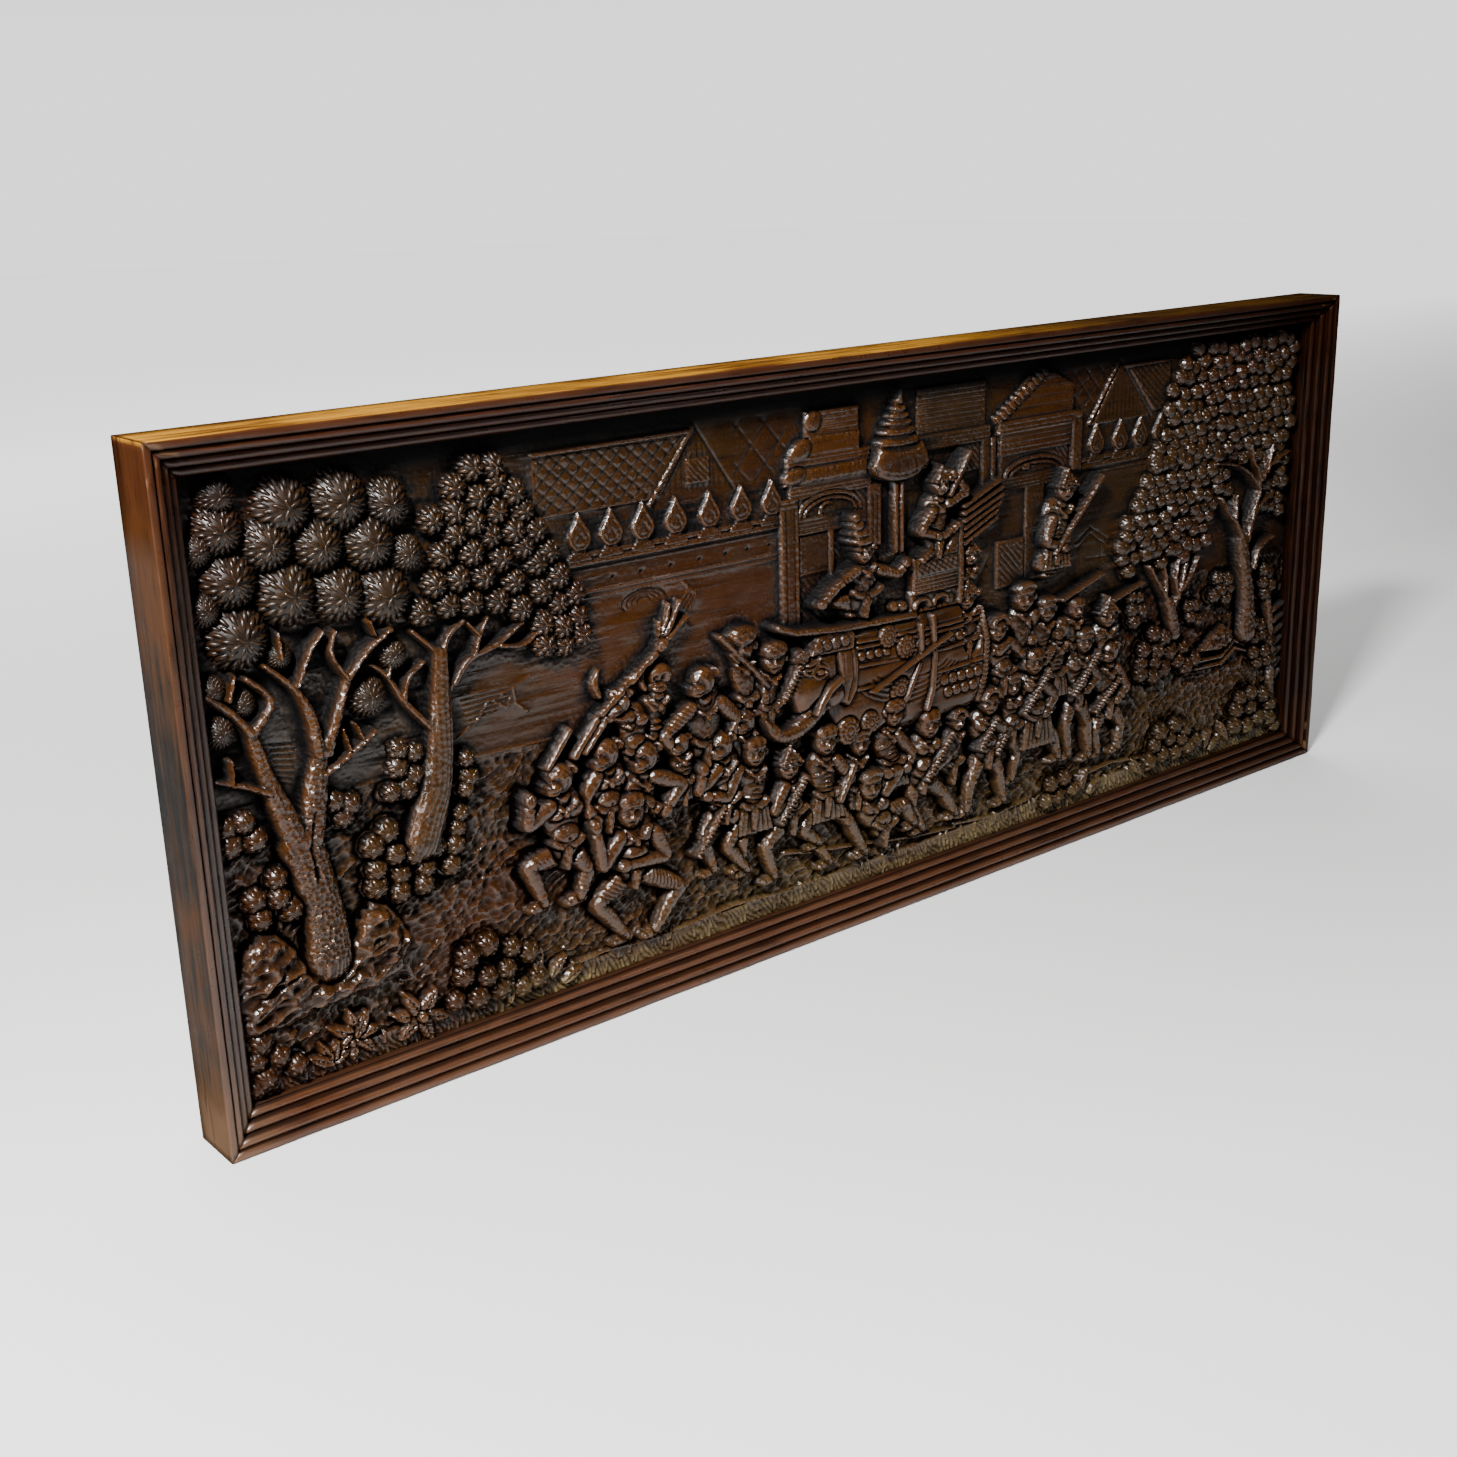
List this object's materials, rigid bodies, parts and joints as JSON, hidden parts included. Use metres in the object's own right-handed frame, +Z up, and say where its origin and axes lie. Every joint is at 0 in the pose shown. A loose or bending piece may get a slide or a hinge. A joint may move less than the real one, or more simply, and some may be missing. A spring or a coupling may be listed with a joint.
{
  "type": "carved wood panel",
  "caption": "Long hardwood wall panel with a deep relief of a procession and an elephant between trees, before palace roofs, in a reeded mitred frame.",
  "frame": {"origin": "middle of the flat back, on the wall", "axes": "+X to the viewer's right along the panel, +Y into the wall, +Z up"},
  "size_m": [1.52, 0.058, 0.59],
  "materials": {
    "carved_wood": "dark varnished teak, glossy on the raised carving, near black in the recesses",
    "frame_wood": "dark red-brown varnished teak, rubbed lighter along the edges"
  },
  "bodies": {
    "root": {"carved_board": "carved_wood", "frame_top_rail": "frame_wood", "frame_bottom_rail": "frame_wood", "frame_right_stile": "frame_wood", "frame_left_stile": "frame_wood"}
  },
  "joints": []
}
